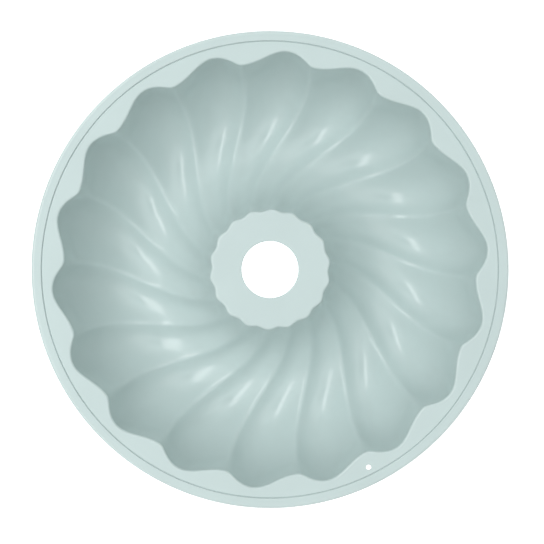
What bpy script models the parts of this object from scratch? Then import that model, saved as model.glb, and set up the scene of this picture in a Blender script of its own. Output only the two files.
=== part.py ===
"""Fluted ring-cake pan in silicone, with a steel ring held in its rim.

The pan stands on the undersides of its flutes. Origin at the bottom centre, +Z up along the
axis of the central tube, units metres. Bearings are measured counter-clockwise from +X.
"""

import math
from collections import namedtuple

import bmesh
import bpy

# Overall sizes
OVERALL_DIAMETER = 0.260
OVERALL_HEIGHT = 0.074
WALL = 0.0020
FIT = 0.0003

# Rim: a raised edge band moulded over the flange, with a steel ring in its slot
BAND_WIDTH = 0.0053
BAND_OUTER_WALL = 0.0011
BAND_TOP_LIP = 0.0007
BAND_BOTTOM_LIP = 0.0010
BAND_EDGE_RADIUS = 0.0014
RING_WIRE = 0.0020

# Flange and its hanging hole
FLANGE_WIDTH = 0.0058
HANG_HOLE_DIAMETER = 0.0030
HANG_HOLE_INSET = 0.0043
HANG_HOLE_FLUTE = 14
HANG_HOLE_SHIFT = math.radians(-1.8)

# Cavity and central tube
FLOOR_RADIUS = 0.0720
FULLNESS = 2.15
TUBE_RADIUS = 0.0331
TUBE_HOLE_DIAMETER = 0.0310
UNDER_BEVEL = 0.0005
FOOT_FLAT = 0.0005

# Flutes: depth at the flange, on the floor and at the top of the tube
FLUTES = 18
LOBE_DEPTH = 0.0068
FLOOR_FLUTE_DEPTH = 0.0038
TOOTH_DEPTH = 0.0012
WALL_FADE = 0.6
TUBE_FADE = 0.7
CREST_BEARING = math.radians(18.3)

# Shape of a flute: how far its valley lies to one side, the sharpness of its two sides at the
# flange and on the wall (1 is sharp, 2 is round), and where the sharp part lies, as a share of
# the way from the tube to the flange
WAVE_SKEW = 0.7
EDGE_SHARPNESS = (1.75, 2.35)
WALL_SHARPNESS = (1.15, 1.05)
SHARP_FROM = 0.45
SHARP_TO = 0.93

# Swirl: the flutes start to turn on the wall, and turn evenly from the floor to the tube
TWIST = math.radians(29.8)
TWIST_START_RADIUS = 0.1050
TWIST_FULL_RADIUS = 0.0580

# Facets
POINTS_PER_FLUTE = 8
WALL_STEPS = 7
RIM_SEGMENTS = 88
RING_SIDES = 8
HOLE_SEGMENTS = 24
EDGE_STEPS = 2

# Sizes that follow from the ones above
OUTER_RADIUS = OVERALL_DIAMETER / 2
SEAM_RADIUS = OUTER_RADIUS - BAND_WIDTH
SLOT_HEIGHT = max(WALL, RING_WIRE) + 2 * FIT
SLOT_RADIUS = OUTER_RADIUS - BAND_OUTER_WALL
RING_RADIUS = SLOT_RADIUS - FIT - RING_WIRE / 2
RING_Z = OVERALL_HEIGHT - BAND_TOP_LIP - SLOT_HEIGHT / 2
FLANGE_RADIUS = RING_RADIUS - RING_WIRE / 2 - FIT
FLANGE_Z = RING_Z + WALL / 2
CREST_RADIUS = SEAM_RADIUS - FLANGE_WIDTH - LOBE_DEPTH
FOLD = (2 * WALL * math.tan(math.radians(22.5)) + UNDER_BEVEL) / math.sqrt(2)
WALL_TOP_Z = FLANGE_Z - FOLD
FLOOR_CREST_Z = WALL - FOOT_FLAT + FLOOR_FLUTE_DEPTH

SILICONE_COLOUR = (0.560, 0.670, 0.662, 1.0)
STEEL_COLOUR = (0.62, 0.62, 0.63, 1.0)

# One ring of the lofted surface: a crest point, the direction and the depth of its flutes
Station = namedtuple("Station", "radius height out_r out_z depth")


def clear_scene():
    for item in list(bpy.data.objects):
        bpy.data.objects.remove(item, do_unlink=True)


def new_collection(name):
    collection = bpy.data.collections.new(name)
    bpy.context.scene.collection.children.link(collection)
    return collection


def new_material(name, colour, roughness, metallic):
    material = bpy.data.materials.new(name)
    material.use_nodes = True
    shader = material.node_tree.nodes["Principled BSDF"]
    shader.inputs["Base Color"].default_value = colour
    shader.inputs["Roughness"].default_value = roughness
    shader.inputs["Metallic"].default_value = metallic
    return material


def place(item, collection, material=None):
    """Put an object into one collection only, with its material."""
    for owner in list(item.users_collection):
        owner.objects.unlink(item)
    collection.objects.link(item)
    if material:
        item.data.materials.append(material)
    return item


def smooth(mesh, angle):
    mesh.shade_smooth()
    mesh.set_sharp_from_angle(angle=math.radians(angle))


def flute_sharpness(reach, side):
    """Sharpness of one side of a flute: round at the tube, sharp on the wall."""
    wall, edge = WALL_SHARPNESS[side], EDGE_SHARPNESS[side]
    if reach < SHARP_FROM:
        return 2 + (wall - 2) * reach / SHARP_FROM
    return wall + (edge - wall) * max(reach - SHARP_TO, 0.0) / (1 - SHARP_TO)


def flute_wave(phase, radius):
    """Depth of a flute from 0 on its crest to 1 in its valley, even on both sides at the tube
    and steep on one side at the flange."""
    reach = min(max((radius - TUBE_RADIUS) / (CREST_RADIUS - TUBE_RADIUS), 0.0), 1.0)
    bend = phase ** (1 - (1 - WAVE_SKEW) * reach)
    side = 0 if bend < 0.5 else 1
    return math.sin(math.pi * bend) ** flute_sharpness(reach, side)


def twist_travel(radius):
    """Way that the swirl has made inwards at a radius, with a soft start."""
    ease = TWIST_START_RADIUS - TWIST_FULL_RADIUS
    begun = min(max(TWIST_START_RADIUS - radius, 0.0), ease)
    return begun ** 2 / (2 * ease) + max(TWIST_FULL_RADIUS - radius, 0.0)


def twist(radius):
    """Angle by which the flutes have turned at a radius."""
    return TWIST * twist_travel(max(radius, TUBE_RADIUS)) / twist_travel(TUBE_RADIUS)


def wall_stations(edge_radius, edge_depth):
    """Rings from the floor up to an edge of the cavity, along a quarter superellipse."""
    span = edge_radius - FLOOR_RADIUS
    rise = WALL_TOP_Z - FLOOR_CREST_Z
    side = math.copysign(1.0, span)
    fade = WALL_FADE if span > 0 else TUBE_FADE
    stations = []
    for step in range(1, WALL_STEPS + 1):
        angle = math.pi / 2 * step / WALL_STEPS
        across = math.sin(angle) ** (2 / FULLNESS)
        down = math.cos(angle) ** (2 / FULLNESS)
        slope_r = across ** (FULLNESS - 1) / abs(span)
        slope_z = down ** (FULLNESS - 1) / rise
        length = math.hypot(slope_r, slope_z)
        depth = FLOOR_FLUTE_DEPTH + (edge_depth - FLOOR_FLUTE_DEPTH) * across ** fade
        stations.append(Station(
            FLOOR_RADIUS + span * across,
            WALL_TOP_Z - rise * down,
            side * slope_r / length,
            -slope_z / length,
            depth,
        ))
    return stations


def shell_stations():
    """All rings of the cavity side, from the tube's hole out to the edge of the flange."""
    tube_wall = wall_stations(TUBE_RADIUS, TOOTH_DEPTH)
    outer_wall = wall_stations(CREST_RADIUS, LOBE_DEPTH)
    floor = Station(FLOOR_RADIUS, FLOOR_CREST_Z, 0.0, -1.0, FLOOR_FLUTE_DEPTH)
    return [
        Station(TUBE_HOLE_DIAMETER / 2, FLANGE_Z, 0.0, 0.0, 0.0),
        Station(TUBE_RADIUS - FOLD, FLANGE_Z, -1.0, 0.0, TOOTH_DEPTH),
        *reversed(tube_wall),
        floor,
        *outer_wall,
        Station(CREST_RADIUS + FOLD, FLANGE_Z, 1.0, 0.0, LOBE_DEPTH),
        Station(FLANGE_RADIUS, FLANGE_Z, 0.0, 0.0, 0.0),
    ]


def shell_point(station, column):
    """One point of the cavity side: a ring's crest point moved out by its flute."""
    columns = FLUTES * POINTS_PER_FLUTE
    wave = flute_wave(column % POINTS_PER_FLUTE / POINTS_PER_FLUTE, station.radius)
    radius = station.radius + station.out_r * station.depth * wave
    height = station.height + station.out_z * station.depth * wave
    bearing = CREST_BEARING + 2 * math.pi * column / columns + twist(station.radius)
    return (radius * math.cos(bearing), radius * math.sin(bearing), height)


def loft(rows):
    """Join closed rings of points, listed from the axis outwards, by faces that look up."""
    mesh = bpy.data.meshes.new("mould_shell")
    form = bmesh.new()
    rings = [[form.verts.new(point) for point in row] for row in rows]
    for inner, outer in zip(rings, rings[1:]):
        for column in range(len(inner)):
            after = (column + 1) % len(inner)
            form.faces.new((inner[column], outer[column], outer[after], inner[after]))
    form.to_mesh(mesh)
    form.free()
    return mesh


def hang_hole_cutter(collection):
    crest_pitch = 2 * math.pi / FLUTES
    bearing = CREST_BEARING + HANG_HOLE_FLUTE * crest_pitch + HANG_HOLE_SHIFT
    radius = SEAM_RADIUS - HANG_HOLE_INSET
    bpy.ops.mesh.primitive_cylinder_add(
        vertices=HOLE_SEGMENTS,
        radius=HANG_HOLE_DIAMETER / 2,
        depth=3 * WALL,
        location=(radius * math.cos(bearing), radius * math.sin(bearing), RING_Z),
        rotation=(0.0, 0.0, bearing),
    )
    return as_cutter(bpy.context.object, "hang_hole_cutter", collection)


def foot_cutter(collection):
    """A block whose top is the surface that the pan stands on."""
    mesh = bpy.data.meshes.new("foot_cutter")
    form = bmesh.new()
    bmesh.ops.create_cube(form, size=1.0)
    bmesh.ops.scale(form, vec=(OVERALL_DIAMETER, OVERALL_DIAMETER, WALL), verts=form.verts)
    bmesh.ops.translate(form, vec=(0.0, 0.0, -WALL / 2), verts=form.verts)
    form.to_mesh(mesh)
    form.free()
    return as_cutter(bpy.data.objects.new("foot_cutter", mesh), "foot_cutter", collection)


def as_cutter(item, name, collection):
    item.name = name
    item.hide_render = True
    item.display_type = "WIRE"
    return place(item, collection)


def cut(item, cutter):
    modifier = item.modifiers.new("cut_" + cutter.name, "BOOLEAN")
    modifier.operation = "DIFFERENCE"
    modifier.solver = "EXACT"
    modifier.object = cutter


def make_shell(collection, cutters, material):
    """The moulding: tube disc, tube, fluted trough and flange, as one thin wall."""
    columns = range(FLUTES * POINTS_PER_FLUTE)
    rows = [[shell_point(station, column) for column in columns] for station in shell_stations()]
    mesh = loft(rows)
    smooth(mesh, 60)
    shell = place(bpy.data.objects.new("mould_shell", mesh), collection, material)
    thickness = shell.modifiers.new("wall", "SOLIDIFY")
    thickness.thickness = WALL
    thickness.offset = -1.0
    thickness.use_even_offset = True
    cut(shell, hang_hole_cutter(cutters))
    cut(shell, foot_cutter(cutters))
    return shell


def quarter_arc(centre_r, centre_z, radius, start):
    """Points of a rounded corner, turning a quarter clockwise from a start angle."""
    points = []
    for step in range(EDGE_STEPS + 1):
        angle = start - math.pi / 2 * step / EDGE_STEPS
        points.append((centre_r + radius * math.cos(angle), centre_z + radius * math.sin(angle)))
    return points


def band_profile():
    """C-shaped section of the rim band, with its slot open towards the axis."""
    slot_top = RING_Z + SLOT_HEIGHT / 2
    slot_bottom = RING_Z - SLOT_HEIGHT / 2
    bottom = slot_bottom - BAND_BOTTOM_LIP
    corner_r = OUTER_RADIUS - BAND_EDGE_RADIUS
    return [
        (SEAM_RADIUS, slot_top),
        (SEAM_RADIUS, OVERALL_HEIGHT),
        *quarter_arc(corner_r, OVERALL_HEIGHT - BAND_EDGE_RADIUS, BAND_EDGE_RADIUS, math.pi / 2),
        *quarter_arc(corner_r, bottom + BAND_EDGE_RADIUS, BAND_EDGE_RADIUS, 0.0),
        (SEAM_RADIUS, bottom),
        (SEAM_RADIUS, slot_bottom),
        (SLOT_RADIUS, slot_bottom),
        (SLOT_RADIUS, slot_top),
    ]


def make_band(collection, material):
    """The raised edge band, a closed section turned round the axis."""
    profile = band_profile()
    mesh = bpy.data.meshes.new("rim_band")
    points = [(radius, 0.0, height) for radius, height in profile]
    edges = [(index, (index + 1) % len(points)) for index in range(len(points))]
    mesh.from_pydata(points, edges, [])
    band = place(bpy.data.objects.new("rim_band", mesh), collection, material)
    screw = band.modifiers.new("turn", "SCREW")
    screw.steps = RIM_SEGMENTS
    screw.render_steps = RIM_SEGMENTS
    screw.use_merge_vertices = True
    screw.merge_threshold = 0.00001
    screw.use_smooth_shade = True
    return band


def make_ring(collection, material):
    """The steel wire ring that lies in the slot of the band."""
    bpy.ops.mesh.primitive_torus_add(
        major_segments=RIM_SEGMENTS,
        minor_segments=RING_SIDES,
        major_radius=RING_RADIUS,
        minor_radius=RING_WIRE / 2,
        location=(0.0, 0.0, RING_Z),
    )
    ring = bpy.context.object
    ring.name = "stiffening_ring"
    smooth(ring.data, 80)
    return place(ring, collection, material)


def main():
    clear_scene()
    parts = new_collection("cake_pan")
    cutters = new_collection("cutters")
    silicone = new_material("silicone", SILICONE_COLOUR, 0.45, 0.0)
    steel = new_material("ring_steel", STEEL_COLOUR, 0.3, 1.0)
    make_shell(parts, cutters, silicone)
    make_band(parts, silicone)
    make_ring(parts, steel)


main()
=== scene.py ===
"""Looks of the fluted ring-cake pan: satin silicone, soft studio light, seen from straight above.

Units are metres, in the same frame as the solids: origin at the bottom centre, +Z up along the
axis of the central tube. Bearings are measured counter-clockwise from +X.
"""

import math
from collections import namedtuple

import bmesh
import bpy
import numpy as np
from mathutils import Matrix, Vector


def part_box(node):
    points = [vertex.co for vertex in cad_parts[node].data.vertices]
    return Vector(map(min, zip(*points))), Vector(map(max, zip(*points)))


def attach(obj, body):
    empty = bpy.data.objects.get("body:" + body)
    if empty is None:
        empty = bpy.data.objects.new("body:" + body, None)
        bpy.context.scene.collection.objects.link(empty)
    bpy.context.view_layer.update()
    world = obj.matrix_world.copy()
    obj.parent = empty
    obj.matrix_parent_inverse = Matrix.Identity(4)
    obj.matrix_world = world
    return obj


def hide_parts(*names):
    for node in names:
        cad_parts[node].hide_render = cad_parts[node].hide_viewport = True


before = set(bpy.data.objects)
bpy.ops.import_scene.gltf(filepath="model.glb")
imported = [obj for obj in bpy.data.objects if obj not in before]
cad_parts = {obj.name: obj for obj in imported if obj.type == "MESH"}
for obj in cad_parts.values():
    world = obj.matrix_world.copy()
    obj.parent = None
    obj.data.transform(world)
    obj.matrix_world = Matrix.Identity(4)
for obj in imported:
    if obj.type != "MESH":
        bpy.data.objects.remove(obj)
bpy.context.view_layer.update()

# Rim, as in the solids
WALL = 0.0020
FIT = 0.0003
BAND_WIDTH = 0.0053
BAND_OUTER_WALL = 0.0011
BAND_TOP_LIP = 0.0007
BAND_BOTTOM_LIP = 0.0010
BAND_EDGE_RADIUS = 0.0014
RING_WIRE = 0.0020
FLANGE_WIDTH = 0.0058
HANG_HOLE_DIAMETER = 0.0030
HANG_HOLE_INSET = 0.0043
HANG_HOLE_FLUTE = 14
HANG_HOLE_SHIFT = math.radians(-1.8)

# Cavity, tube and flutes, as in the solids
FLOOR_RADIUS = 0.0720
FULLNESS = 2.15
TUBE_RADIUS = 0.0331
TUBE_HOLE_RADIUS = 0.0155
FOOT_FLAT = 0.0005
FLUTES = 18
LOBE_DEPTH = 0.0068
FLOOR_FLUTE_DEPTH = 0.0038
TOOTH_DEPTH = 0.0012
WALL_FADE = 0.6
TUBE_FADE = 0.7
CREST_BEARING = math.radians(18.3)

# Shape of a flute, as in the solids: how far its valley lies to one side, the sharpness of its
# steep and its easy side (1 is sharp, 2 is round), and where the sharp part lies, as a share of
# the way from the tube to the flange
WAVE_SKEW = 0.7
TUBE_SHARPNESS = 2.0
WALL_SHARPNESS = (1.15, 1.05)
EDGE_SHARPNESS = (1.75, 2.35)
SHARP_FROM = 0.45
SHARP_TO = 0.93

# Swirl, as in the solids: the flutes start to turn on the wall, and turn evenly further in
TWIST = math.radians(29.8)
TWIST_START_RADIUS = 0.1050
TWIST_FULL_RADIUS = 0.0580

# Small forms of the shown mould: round lips, a slight draft on the tube with a soft start, a
# flange close under the band's top lip, and a fine groove along the seam
LIP_RADIUS = 0.0013
TUBE_DRAFT = math.radians(6.0)
DRAFT_BLEND = 4
FLANGE_CLEARANCE = 0.00005
GROOVE_WIDTH = 0.0005
GROOVE_DEPTH = 0.00042
GROOVE_EDGE = 0.00012

# Sizes that follow from the frame and from the ones above
OUTER_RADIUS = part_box("rim_band")[1].x
TOP_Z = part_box("rim_band")[1].z
SEAM_RADIUS = OUTER_RADIUS - BAND_WIDTH
SLOT_HEIGHT = max(WALL, RING_WIRE) + 2 * FIT
SLOT_RADIUS = OUTER_RADIUS - BAND_OUTER_WALL
RING_RADIUS = SLOT_RADIUS - FIT - RING_WIRE / 2
RING_Z = TOP_Z - BAND_TOP_LIP - SLOT_HEIGHT / 2
FLANGE_RADIUS = RING_RADIUS - RING_WIRE / 2 - FIT
FLANGE_Z = RING_Z + SLOT_HEIGHT / 2 - FLANGE_CLEARANCE
CREST_RADIUS = SEAM_RADIUS - FLANGE_WIDTH - LOBE_DEPTH
WALL_TOP_Z = FLANGE_Z - LIP_RADIUS
FLOOR_CREST_Z = WALL - FOOT_FLAT + FLOOR_FLUTE_DEPTH

# Rounding of the crests at a few radii, and of the small edges
CREST_ROUNDING_PLACES = (TUBE_RADIUS, 0.050, 0.090, CREST_RADIUS)
CREST_ROUNDING = (0.0010, 0.0013, 0.0013, 0.0012)
CORNER_RADIUS = 0.0006
EDGE_RADIUS = 0.00035
BAND_INNER_EDGE = 0.00030
BAND_SLOT_EDGE = 0.0001

# Fineness of the shown mould; its points crowd towards the crests
POINTS_PER_FLUTE = 28
CREST_CROWDING = 0.55
WAVE_SAMPLES = 1024
WALL_STEPS = 30
LIP_STEPS = 6
EDGE_STEPS = 3
HANG_HOLE_SEGMENTS = 40
HANG_HOLE_EDGE_STEPS = 4
BAND_SEGMENTS = 360
BAND_OUTER_STEPS = 10
BAND_INNER_STEPS = 5
BAND_SLOT_STEPS = 2
SHARP_ANGLE = math.radians(40)

# Camera straight above
VIEW_WIDTH = 0.2963
CAMERA_DISTANCE = 1.5
CAMERA_OFFSET = (0.00109, -0.00136)
CAMERA_NEAREST = 0.01
CAMERA_FURTHEST = 50.0
SENSOR_WIDTH_MM = 36.0

# Strip light and backdrop
STRIP_PLACE = (-0.54, 0.06, 1.20)
STRIP_WIDTH = 0.34
STRIP_LENGTH = 1.45
STRIP_RADIANCE = 5.4
BACKDROP_STRENGTH = 0.95

# Bands of soft light, each with its tilt off the vertical in degrees (start and end), its mean
# strength, the swing of the strength round the pan, and the bearing in degrees where it is
# strongest. Neighbouring bands run softly into each other
LIGHT_BLUR = math.radians(2.0)
LIGHT_BANDS = (
    (14.0, 20.0, 0.88, 0.02, 0.0),
    (20.0, 28.0, 1.41, 0.16, 0.0),
    (28.0, 38.0, 1.53, 0.32, 0.0),
    (38.0, 50.0, 1.30, 0.10, 37.0),
    (50.0, 66.0, 0.50, 0.16, 112.0),
    (66.0, 92.0, 0.22, 0.05, 112.0),
)

# Table top that glows: most within the first radius, a painted pool of light under the tube that
# fills the pan's shade there, and least beyond the second
TABLE_RADIUS = 6.0
TABLE_SEGMENTS = 96
TABLE_CLEARANCE = 0.00002
TABLE_COLOUR = (0.9, 0.9, 0.9)
TABLE_ROUGHNESS = 0.9
PAINTED_LIGHT_SPOT_RADII = (0.026, 0.040)
PAINTED_SPOT_AND_TABLE_GLOW = (1.05, 0.45)

# Silicone: a faint mottle in its colour, uneven gloss, sheen and a finely blasted skin. Each
# noise is given by its scale and its detail
SILICONE_COLOUR = (0.500, 0.600, 0.592)
SILICONE_IOR = 1.41
MOTTLE_NOISE = (38.0, 3.0)
MOTTLE_LEVELS = (0.985, 1.012)
GLOSS_NOISE = (70.0, 2.0)
SILICONE_ROUGHNESS = (0.19, 0.22)
SHEEN_WEIGHT = 0.24
SHEEN_ROUGHNESS = 0.3
SHEEN_TINT = (0.80, 0.96, 0.94)
SKIN_NOISE = (2600.0, 2.0)
SKIN_STRENGTH = 0.10
SKIN_HEIGHT = 0.00002

# Drawn steel: an uneven tone, and marks that change its gloss
STEEL_COLOUR = (0.62, 0.62, 0.63)
TONE_NOISE = (300.0, 3.0)
TONE_LEVELS = (0.90, 1.05)
MARK_NOISE = (900.0, 4.0)
STEEL_ROUGHNESS = (0.25, 0.42)

# Part of a noise's range over which a colour changes
COLOUR_CHANGE = (0.3, 0.7)

# One ring of points: a crest point, the direction and depth of its flutes, the wall's thickness
# added on the underside, and the radius that its swirl is read from
Ring = namedtuple("Ring", "radius height out_r out_z depth wall swirl_radius")


def flute_wave(phase, radius):
    """Depth of a flute from 0 on its crest to 1 in its valley: even on both sides at the tube,
    steep on one side further out, and with its crest sharpest on the wall."""
    reach = min(max((radius - TUBE_RADIUS) / (CREST_RADIUS - TUBE_RADIUS), 0.0), 1.0)
    bend = phase ** (1 - (1 - WAVE_SKEW) * reach)
    places = (0.0, SHARP_FROM, SHARP_TO, 1.0)
    steep, easy = (
        np.interp(reach, places, (TUBE_SHARPNESS, wall, wall, edge))
        for wall, edge in zip(WALL_SHARPNESS, EDGE_SHARPNESS)
    )
    return np.sin(np.pi * bend) ** np.where(bend < 0.5, steep, easy)


def rounded_wave(phases, radius):
    """The flute wave at a radius and its slope per metre, with its crest rounded."""
    pitch = 2 * math.pi * max(radius, TUBE_RADIUS) / FLUTES
    spectrum = np.fft.rfft(flute_wave(np.arange(WAVE_SAMPLES) / WAVE_SAMPLES, radius))
    rounding = np.interp(radius, CREST_ROUNDING_PLACES, CREST_ROUNDING)
    blur = np.exp(-2 * (np.pi * np.arange(len(spectrum)) * rounding / pitch) ** 2)
    wave = np.fft.irfft(spectrum * blur, WAVE_SAMPLES)
    wave = (wave - wave.min()) / (wave.max() - wave.min())
    closed = np.append(wave, wave[0])
    slope = np.gradient(closed, pitch / WAVE_SAMPLES)
    grid = np.arange(WAVE_SAMPLES + 1) / WAVE_SAMPLES
    return np.interp(phases, grid, closed), np.interp(phases, grid, slope)


def twist(radius):
    """Angle by which the flutes have turned at a radius."""
    ease = TWIST_START_RADIUS - TWIST_FULL_RADIUS

    def travel(place):
        begun = min(max(TWIST_START_RADIUS - place, 0.0), ease)
        return begun**2 / (2 * ease) + max(TWIST_FULL_RADIUS - place, 0.0)

    return TWIST * travel(max(radius, TUBE_RADIUS)) / travel(TUBE_RADIUS)


def plain(radius, height):
    """A ring with no flutes."""
    return Ring(radius, height, 0.0, 0.0, 0.0, 0.0, radius)


def wall_ring(angle, edge_radius, edge_depth, wall):
    """A ring at an angle of the quarter superellipse, 0 on the floor and 90 degrees at the top."""
    span = edge_radius - FLOOR_RADIUS
    rise = WALL_TOP_Z - FLOOR_CREST_Z
    side = math.copysign(1.0, span)
    across = math.sin(angle) ** (2 / FULLNESS)
    down = math.cos(angle) ** (2 / FULLNESS)
    slope_r = across ** (FULLNESS - 1) / abs(span)
    slope_z = down ** (FULLNESS - 1) / rise
    length = math.hypot(slope_r, slope_z)
    fade = WALL_FADE if span > 0 else TUBE_FADE
    depth = FLOOR_FLUTE_DEPTH + (edge_depth - FLOOR_FLUTE_DEPTH) * across**fade
    height = WALL_TOP_Z - rise * down
    draft = 0.0 if span > 0 else rise * down * math.tan(TUBE_DRAFT)
    inset = abs(span) * (1 - across)
    radius = edge_radius - side * (inset**DRAFT_BLEND + draft**DRAFT_BLEND) ** (1 / DRAFT_BLEND)
    return Ring(radius, height, side * slope_r / length, -slope_z / length, depth, wall, radius)


def wall_rings(edge_radius, edge_depth, wall, top_gap):
    """Rings from the floor, which is left out, up to a gap below the top of the wall."""
    rise = WALL_TOP_Z - FLOOR_CREST_Z
    last = math.acos(min((top_gap / rise) ** (FULLNESS / 2), 1.0))
    return [
        wall_ring(last * step / WALL_STEPS, edge_radius, edge_depth, wall)
        for step in range(1, WALL_STEPS + 1)
    ]


def lip_rings(edge_radius, depth, side):
    """The rounded lip from the wall's top out onto the flat, as a quarter circle."""
    rings = []
    for step in range(1, LIP_STEPS + 1):
        angle = math.pi / 2 * step / LIP_STEPS
        radius = edge_radius + side * LIP_RADIUS * (1 - math.cos(angle))
        height = WALL_TOP_Z + LIP_RADIUS * math.sin(angle)
        rings.append(Ring(radius, height, side, 0.0, depth, 0.0, edge_radius))
    flat = edge_radius + side * (LIP_RADIUS + EDGE_RADIUS)
    rings.append(Ring(flat, FLANGE_Z, side, 0.0, depth, 0.0, edge_radius))
    return rings


def corner_rings(edge_radius, depth, side):
    """The small inner corner between the outside of a wall and the underside of the flat."""
    rings = []
    for step in range(1, LIP_STEPS + 1):
        angle = math.pi / 2 * step / LIP_STEPS
        radius = edge_radius + side * (WALL + CORNER_RADIUS * (1 - math.cos(angle)))
        height = FLANGE_Z - WALL - CORNER_RADIUS * (1 - math.sin(angle))
        rings.append(Ring(radius, height, side, 0.0, depth, 0.0, edge_radius))
    flat = edge_radius + side * (WALL + CORNER_RADIUS + EDGE_RADIUS)
    rings.append(Ring(flat, FLANGE_Z - WALL, side, 0.0, depth, 0.0, edge_radius))
    return rings


def edge_rings(radius, side, top, bottom):
    """The rounded rim of a flat, from its top face to its bottom face."""
    rings = [plain(radius - side * 2 * EDGE_RADIUS, top)]
    for centre, start in ((top - EDGE_RADIUS, math.pi / 2), (bottom + EDGE_RADIUS, 0.0)):
        for step in range(EDGE_STEPS + 1):
            angle = start - math.pi / 2 * step / EDGE_STEPS
            rings.append(plain(
                radius - side * EDGE_RADIUS * (1 - math.cos(angle)),
                centre + EDGE_RADIUS * math.sin(angle),
            ))
    rings.append(plain(radius - side * 2 * EDGE_RADIUS, bottom))
    return rings


def groove_rings():
    """The fine groove in the flange's top along the seam, from its inner to its outer side."""
    inner = SEAM_RADIUS - GROOVE_WIDTH
    bottom = FLANGE_Z - GROOVE_DEPTH
    return [
        plain(inner - 3 * GROOVE_EDGE, FLANGE_Z),
        plain(inner - GROOVE_EDGE, FLANGE_Z),
        plain(inner - GROOVE_EDGE / 3, FLANGE_Z - GROOVE_EDGE / 3),
        plain(inner, FLANGE_Z - GROOVE_EDGE),
        plain(inner, bottom + GROOVE_EDGE),
        plain(inner + GROOVE_EDGE, bottom),
        plain(SEAM_RADIUS - GROOVE_EDGE, bottom),
        plain(SEAM_RADIUS, bottom + GROOVE_EDGE),
        plain(SEAM_RADIUS, FLANGE_Z - GROOVE_EDGE),
        plain(SEAM_RADIUS + GROOVE_EDGE, FLANGE_Z),
        plain(SEAM_RADIUS + 3 * GROOVE_EDGE, FLANGE_Z),
    ]


def shell_rings():
    """All rings of the closed mould: over the cavity side outwards, and back underneath."""
    under_gap = WALL + CORNER_RADIUS - LIP_RADIUS
    floor = wall_ring(0.0, CREST_RADIUS, LOBE_DEPTH, 0.0)
    over = [
        *reversed(lip_rings(TUBE_RADIUS, TOOTH_DEPTH, -1.0)),
        *reversed(wall_rings(TUBE_RADIUS, TOOTH_DEPTH, 0.0, 0.0)),
        floor,
        *wall_rings(CREST_RADIUS, LOBE_DEPTH, 0.0, 0.0),
        *lip_rings(CREST_RADIUS, LOBE_DEPTH, 1.0),
    ]
    under = [
        *reversed(corner_rings(CREST_RADIUS, LOBE_DEPTH, 1.0)),
        *reversed(wall_rings(CREST_RADIUS, LOBE_DEPTH, WALL, under_gap)),
        floor._replace(wall=WALL),
        *wall_rings(TUBE_RADIUS, TOOTH_DEPTH, WALL, under_gap),
        *corner_rings(TUBE_RADIUS, TOOTH_DEPTH, -1.0),
    ]
    flange_edge = edge_rings(FLANGE_RADIUS, 1.0, FLANGE_Z, FLANGE_Z - WALL)
    hole_edge = edge_rings(TUBE_HOLE_RADIUS, -1.0, FLANGE_Z, FLANGE_Z - WALL)
    return [*over, *groove_rings(), *flange_edge, *under, *reversed(hole_edge)]


def ring_points(ring, phases):
    """The points of one ring, with its flutes rounded and swirled, and none below the ground."""
    wave, slope = rounded_wave(phases, ring.swirl_radius)
    move = ring.depth * wave + ring.wall * np.hypot(1.0, ring.depth * slope)
    radius = ring.radius + ring.out_r * move
    height = np.maximum(ring.height + ring.out_z * move, 0.0)
    flute = np.arange(len(phases)) // POINTS_PER_FLUTE
    bearing = CREST_BEARING + 2 * math.pi * (flute + phases) / FLUTES + twist(ring.swirl_radius)
    return np.stack([radius * np.cos(bearing), radius * np.sin(bearing), height], axis=1)


def grid_mesh(name, rows):
    """A closed mesh from rings of points, joined round and from the last ring to the first."""
    count, columns = len(rows), len(rows[0])
    points = np.concatenate(rows)
    faces = []
    for row in range(count):
        this, after = row * columns, (row + 1) % count * columns
        for column in range(columns):
            following = (column + 1) % columns
            faces.append((this + column, after + column, after + following, this + following))
    mesh = bpy.data.meshes.new(name)
    mesh.from_pydata(points.tolist(), [], faces)
    mesh.validate()
    return mesh


def add_object(name, mesh):
    """A mesh put into the scene."""
    item = bpy.data.objects.new(name, mesh)
    bpy.context.scene.collection.objects.link(item)
    return item


def smooth(mesh):
    """Soft shading, with edges only where faces meet at a sharp angle."""
    mesh.shade_smooth()
    mesh.set_sharp_from_angle(angle=SHARP_ANGLE)


def turned_mesh(name, profile, segments):
    """A closed section of (radius, height) points turned round the pan's axis."""
    bearings = np.arange(segments) * 2 * math.pi / segments
    rows = [
        np.stack([
            radius * np.cos(bearings),
            radius * np.sin(bearings),
            np.full(segments, height),
        ], axis=1)
        for radius, height in profile
    ]
    return grid_mesh(name, rows)


def arc(centre_r, centre_z, radius, start, turn, steps):
    """Points of an arc in the section, from a start angle through a turn, both in degrees."""
    points = []
    for step in range(steps + 1):
        angle = math.radians(start + turn * step / steps)
        points.append((centre_r + radius * math.cos(angle), centre_z + radius * math.sin(angle)))
    return points


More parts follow.
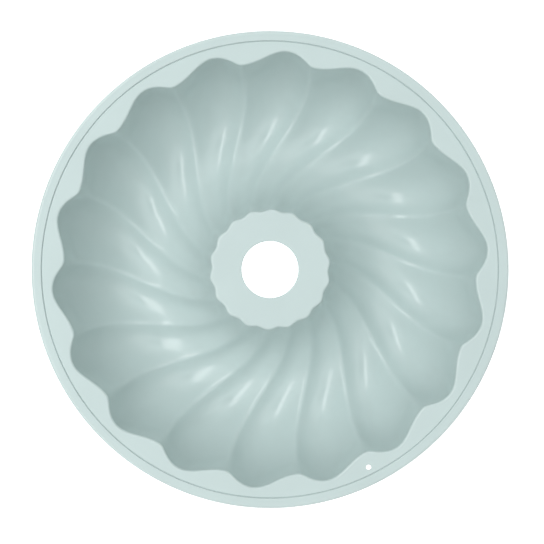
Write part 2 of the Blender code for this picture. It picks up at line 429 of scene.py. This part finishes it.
def hang_hole_cutter():
    """A round cutter, flared at both faces of the flange, so that the hole has soft edges."""
    flare = EDGE_RADIUS
    flared = HANG_HOLE_DIAMETER / 2 + flare
    bottom = FLANGE_Z - WALL
    section = [
        (flared, bottom - WALL),
        *arc(flared, bottom + flare, flare, 270.0, -90.0, HANG_HOLE_EDGE_STEPS),
        *arc(flared, FLANGE_Z - flare, flare, 180.0, -90.0, HANG_HOLE_EDGE_STEPS),
        (flared, FLANGE_Z + WALL),
    ]
    bearing = CREST_BEARING + HANG_HOLE_FLUTE * 2 * math.pi / FLUTES + HANG_HOLE_SHIFT
    centre_radius = SEAM_RADIUS - HANG_HOLE_INSET
    centre_x = centre_radius * math.cos(bearing)
    centre_y = centre_radius * math.sin(bearing)
    turns = [2 * math.pi * step / HANG_HOLE_SEGMENTS for step in range(HANG_HOLE_SEGMENTS)]
    form = bmesh.new()
    rings = [
        [
            form.verts.new((
                centre_x + radius * math.cos(turn), centre_y + radius * math.sin(turn), height
            ))
            for turn in turns
        ]
        for radius, height in section
    ]
    for lower, upper in zip(rings, rings[1:]):
        for step in range(HANG_HOLE_SEGMENTS):
            after = (step + 1) % HANG_HOLE_SEGMENTS
            form.faces.new((lower[step], lower[after], upper[after], upper[step]))
    form.faces.new(list(reversed(rings[0])))
    form.faces.new(rings[-1])
    mesh = bpy.data.meshes.new("hang_hole_cutter")
    form.to_mesh(mesh)
    form.free()
    return add_object("hang_hole_cutter", mesh)


def cut_and_keep(item, cutter):
    """Cut a hole, keep the result as the object's mesh and remove the cutter."""
    modifier = item.modifiers.new("hole", "BOOLEAN")
    modifier.operation = "DIFFERENCE"
    modifier.solver = "EXACT"
    modifier.object = cutter
    bpy.context.view_layer.update()
    graph = bpy.context.evaluated_depsgraph_get()
    mesh = bpy.data.meshes.new_from_object(item.evaluated_get(graph))
    item.modifiers.clear()
    item.data = mesh
    bpy.data.objects.remove(cutter, do_unlink=True)


def make_shell(material):
    """The silicone moulding, fine enough for soft highlights on every flute."""
    columns = FLUTES * POINTS_PER_FLUTE
    step = np.arange(columns) % POINTS_PER_FLUTE / POINTS_PER_FLUTE
    phases = step - CREST_CROWDING * np.sin(2 * math.pi * step) / (2 * math.pi)
    rows = [ring_points(ring, phases) for ring in shell_rings()]
    shell = add_object("silicone_mould", grid_mesh("silicone_mould", rows))
    cut_and_keep(shell, hang_hole_cutter())
    smooth(shell.data)
    shell.data.materials.append(material)
    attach(shell, "root")
    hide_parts("mould_shell")


def make_band(material):
    """The raised edge band with its rounded outer edge and the fine step down to the flange."""
    slot_top = RING_Z + SLOT_HEIGHT / 2
    slot_bottom = RING_Z - SLOT_HEIGHT / 2
    bottom = slot_bottom - BAND_BOTTOM_LIP
    corner_r = OUTER_RADIUS - BAND_EDGE_RADIUS
    inner = SEAM_RADIUS + BAND_INNER_EDGE
    section = [
        *arc(inner, slot_top + BAND_SLOT_EDGE, BAND_SLOT_EDGE, 270.0, -90.0, BAND_SLOT_STEPS),
        *arc(inner, TOP_Z - BAND_INNER_EDGE, BAND_INNER_EDGE, 180.0, -90.0, BAND_INNER_STEPS),
        (inner + EDGE_RADIUS, TOP_Z),
        (corner_r - EDGE_RADIUS, TOP_Z),
        *arc(corner_r, TOP_Z - BAND_EDGE_RADIUS, BAND_EDGE_RADIUS, 90.0, -90.0, BAND_OUTER_STEPS),
        *arc(corner_r, bottom + BAND_EDGE_RADIUS, BAND_EDGE_RADIUS, 0.0, -90.0, BAND_OUTER_STEPS),
        (inner + EDGE_RADIUS, bottom),
        *arc(inner, bottom + BAND_INNER_EDGE, BAND_INNER_EDGE, 270.0, -90.0, BAND_INNER_STEPS),
        (SEAM_RADIUS, slot_bottom),
        (SLOT_RADIUS, slot_bottom),
        (SLOT_RADIUS, slot_top),
    ]
    band = add_object("silicone_rim_band", turned_mesh("silicone_rim_band", section, BAND_SEGMENTS))
    smooth(band.data)
    band.data.materials.append(material)
    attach(band, "root")
    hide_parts("rim_band")


def add_noise(tree, noise):
    """A noise texture of a given scale and detail, in object coordinates."""
    place = tree.nodes.new("ShaderNodeTexCoord")
    texture = tree.nodes.new("ShaderNodeTexNoise")
    texture.inputs["Scale"].default_value, texture.inputs["Detail"].default_value = noise
    tree.links.new(place.outputs["Object"], texture.inputs["Vector"])
    return texture.outputs["Fac"]


def mottled_colour(tree, shader, colour, levels, noise):
    """A colour that wanders between two levels of itself."""
    ramp = tree.nodes.new("ShaderNodeValToRGB")
    for element, place, level in zip(ramp.color_ramp.elements, COLOUR_CHANGE, levels):
        element.position = place
        element.color = (*(np.array(colour) * level), 1.0)
    tree.links.new(add_noise(tree, noise), ramp.inputs["Fac"])
    tree.links.new(ramp.outputs["Color"], shader.inputs["Base Color"])


def uneven_roughness(tree, shader, levels, noise):
    """Roughness that wanders between two levels."""
    spread = tree.nodes.new("ShaderNodeMapRange")
    spread.inputs["To Min"].default_value, spread.inputs["To Max"].default_value = levels
    tree.links.new(add_noise(tree, noise), spread.inputs["Value"])
    tree.links.new(spread.outputs["Result"], shader.inputs["Roughness"])


def silicone_material():
    """Satin moulded silicone: a faint mottle, uneven gloss and a fine mould-blasted skin."""
    material = bpy.data.materials.new("satin_silicone")
    material.use_nodes = True
    tree = material.node_tree
    shader = tree.nodes["Principled BSDF"]
    shader.inputs["IOR"].default_value = SILICONE_IOR
    shader.inputs["Sheen Weight"].default_value = SHEEN_WEIGHT
    shader.inputs["Sheen Roughness"].default_value = SHEEN_ROUGHNESS
    shader.inputs["Sheen Tint"].default_value = (*SHEEN_TINT, 1.0)
    mottled_colour(tree, shader, SILICONE_COLOUR, MOTTLE_LEVELS, MOTTLE_NOISE)
    uneven_roughness(tree, shader, SILICONE_ROUGHNESS, GLOSS_NOISE)
    bump = tree.nodes.new("ShaderNodeBump")
    bump.inputs["Strength"].default_value = SKIN_STRENGTH
    bump.inputs["Distance"].default_value = SKIN_HEIGHT
    tree.links.new(add_noise(tree, SKIN_NOISE), bump.inputs["Height"])
    tree.links.new(bump.outputs["Normal"], shader.inputs["Normal"])
    return material


def steel_material():
    """Drawn steel wire, uneven in tone and gloss."""
    material = bpy.data.materials.new("drawn_steel")
    material.use_nodes = True
    tree = material.node_tree
    shader = tree.nodes["Principled BSDF"]
    shader.inputs["Metallic"].default_value = 1.0
    mottled_colour(tree, shader, STEEL_COLOUR, TONE_LEVELS, TONE_NOISE)
    uneven_roughness(tree, shader, STEEL_ROUGHNESS, MARK_NOISE)
    return material


def table_material():
    """A pale table that glows a little, as a light table does, brightest under the tube, where a
    painted pool of light fills the pan's shade.
    """
    material = bpy.data.materials.new("table_with_painted_light_spot")
    material.use_nodes = True
    tree = material.node_tree
    shader = tree.nodes["Principled BSDF"]
    shader.inputs["Base Color"].default_value = (*TABLE_COLOUR, 1.0)
    shader.inputs["Roughness"].default_value = TABLE_ROUGHNESS
    shader.inputs["Emission Color"].default_value = (1.0, 1.0, 1.0, 1.0)
    # Painted pool of light: the glow is strongest in a small disc under the tube, where the pan
    # would shade the table
    place = tree.nodes.new("ShaderNodeTexCoord")
    distance = tree.nodes.new("ShaderNodeVectorMath")
    distance.operation = "LENGTH"
    spread = tree.nodes.new("ShaderNodeMapRange")
    spread.interpolation_type = "SMOOTHSTEP"
    spread.inputs["From Min"].default_value = PAINTED_LIGHT_SPOT_RADII[0]
    spread.inputs["From Max"].default_value = PAINTED_LIGHT_SPOT_RADII[1]
    spread.inputs["To Min"].default_value = PAINTED_SPOT_AND_TABLE_GLOW[0]
    spread.inputs["To Max"].default_value = PAINTED_SPOT_AND_TABLE_GLOW[1]
    tree.links.new(place.outputs["Object"], distance.inputs[0])
    tree.links.new(distance.outputs["Value"], spread.inputs["Value"])
    tree.links.new(spread.outputs["Result"], shader.inputs["Emission Strength"])
    return material


def make_table():
    """A round table top, just clear of the pan's feet so that their faces don't coincide."""
    form = bmesh.new()
    bmesh.ops.create_circle(form, cap_ends=True, segments=TABLE_SEGMENTS, radius=TABLE_RADIUS)
    mesh = bpy.data.meshes.new("table")
    form.to_mesh(mesh)
    form.free()
    mesh.materials.append(table_material())
    table = add_object("table", mesh)
    table.location.z = -TABLE_CLEARANCE


def combine(tree, operation, first, second):
    """A sum, product or the like of two values, each a number or a socket."""
    node = tree.nodes.new("ShaderNodeMath")
    node.operation = operation
    for socket, value in zip(node.inputs, (first, second)):
        if isinstance(value, float):
            socket.default_value = value
        else:
            tree.links.new(value, socket)
    return node.outputs["Value"]


def soft_step(tree, source, at):
    """0 before a value and 1 after it, with a soft step."""
    spread = tree.nodes.new("ShaderNodeMapRange")
    spread.interpolation_type = "SMOOTHSTEP"
    spread.inputs["From Min"].default_value = at - LIGHT_BLUR
    spread.inputs["From Max"].default_value = at + LIGHT_BLUR
    tree.links.new(source, spread.inputs["Value"])
    return spread.outputs["Result"]


def light_band(tree, tilt, heading, band):
    """The strength that one band of light adds in a direction."""
    start, end, mean, swing, bearing = band
    begun = soft_step(tree, tilt, math.radians(start))
    passed = soft_step(tree, tilt, math.radians(end))
    window = combine(tree, "SUBTRACT", begun, passed)
    facing = tree.nodes.new("ShaderNodeVectorMath")
    facing.operation = "DOT_PRODUCT"
    tree.links.new(heading, facing.inputs[0])
    toward = math.radians(bearing)
    facing.inputs[1].default_value = (math.cos(toward), math.sin(toward), 0.0)
    swung = combine(tree, "MULTIPLY", facing.outputs["Value"], swing)
    strength = combine(tree, "MAXIMUM", combine(tree, "ADD", swung, mean), 0.0)
    return combine(tree, "MULTIPLY", window, strength)


def make_world():
    """Bands of soft studio light round the camera, and a pale backdrop."""
    world = bpy.data.worlds.new("studio")
    world.use_nodes = True
    tree = world.node_tree
    background = tree.nodes["Background"]
    background.inputs["Color"].default_value = (1.0, 1.0, 1.0, 1.0)
    place = tree.nodes.new("ShaderNodeTexCoord")
    split = tree.nodes.new("ShaderNodeSeparateXYZ")
    tree.links.new(place.outputs["Generated"], split.inputs["Vector"])
    tilt = tree.nodes.new("ShaderNodeMath")
    tilt.operation = "ARCCOSINE"
    tree.links.new(split.outputs["Z"], tilt.inputs[0])
    level = tree.nodes.new("ShaderNodeVectorMath")
    level.operation = "MULTIPLY"
    level.inputs[1].default_value = (1.0, 1.0, 0.0)
    tree.links.new(place.outputs["Generated"], level.inputs[0])
    heading = tree.nodes.new("ShaderNodeVectorMath")
    heading.operation = "NORMALIZE"
    tree.links.new(level.outputs["Vector"], heading.inputs[0])
    total = 0.0
    for band in LIGHT_BANDS:
        glow = light_band(tree, tilt.outputs["Value"], heading.outputs["Vector"], band)
        total = combine(tree, "ADD", total, glow)
    path = tree.nodes.new("ShaderNodeLightPath")
    backdrop = tree.nodes.new("ShaderNodeMix")
    tree.links.new(path.outputs["Is Camera Ray"], backdrop.inputs["Factor"])
    tree.links.new(total, backdrop.inputs["A"])
    backdrop.inputs["B"].default_value = BACKDROP_STRENGTH
    tree.links.new(backdrop.outputs["Result"], background.inputs["Strength"])
    bpy.context.scene.world = world


def strip_light():
    """A long narrow softbox on the left, above the rim, with its long side towards +Y."""
    light = bpy.data.lights.new("strip_light", "AREA")
    light.shape = "RECTANGLE"
    light.size = STRIP_WIDTH
    light.size_y = STRIP_LENGTH
    light.energy = STRIP_RADIANCE * math.pi * STRIP_WIDTH * STRIP_LENGTH
    back = Vector(STRIP_PLACE).normalized()
    across = Vector((0.0, 1.0, 0.0)).cross(back).normalized()
    along = back.cross(across)
    item = bpy.data.objects.new("strip_light", light)
    item.matrix_world = Matrix((
        (across.x, along.x, back.x, STRIP_PLACE[0]),
        (across.y, along.y, back.y, STRIP_PLACE[1]),
        (across.z, along.z, back.z, STRIP_PLACE[2] + FLANGE_Z),
        (0.0, 0.0, 0.0, 1.0),
    ))
    bpy.context.scene.collection.objects.link(item)


def make_camera():
    """Straight above the pan, with the top of the picture towards +Y."""
    data = bpy.data.cameras.new("camera")
    data.sensor_width = SENSOR_WIDTH_MM
    data.lens = SENSOR_WIDTH_MM * CAMERA_DISTANCE / VIEW_WIDTH
    data.clip_start = CAMERA_NEAREST
    data.clip_end = CAMERA_FURTHEST
    camera = bpy.data.objects.new("camera", data)
    camera.location = (*CAMERA_OFFSET, FLANGE_Z + CAMERA_DISTANCE)
    bpy.context.scene.collection.objects.link(camera)
    bpy.context.scene.camera = camera


def dress_ring():
    """The wire ring keeps its solid and gets the finish of drawn steel."""
    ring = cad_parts["stiffening_ring"]
    ring.material_slots[0].material = steel_material()


silicone = silicone_material()
make_shell(silicone)
make_band(silicone)
dress_ring()
make_table()
make_world()
strip_light()
make_camera()
bpy.context.scene.view_settings.view_transform = "Standard"
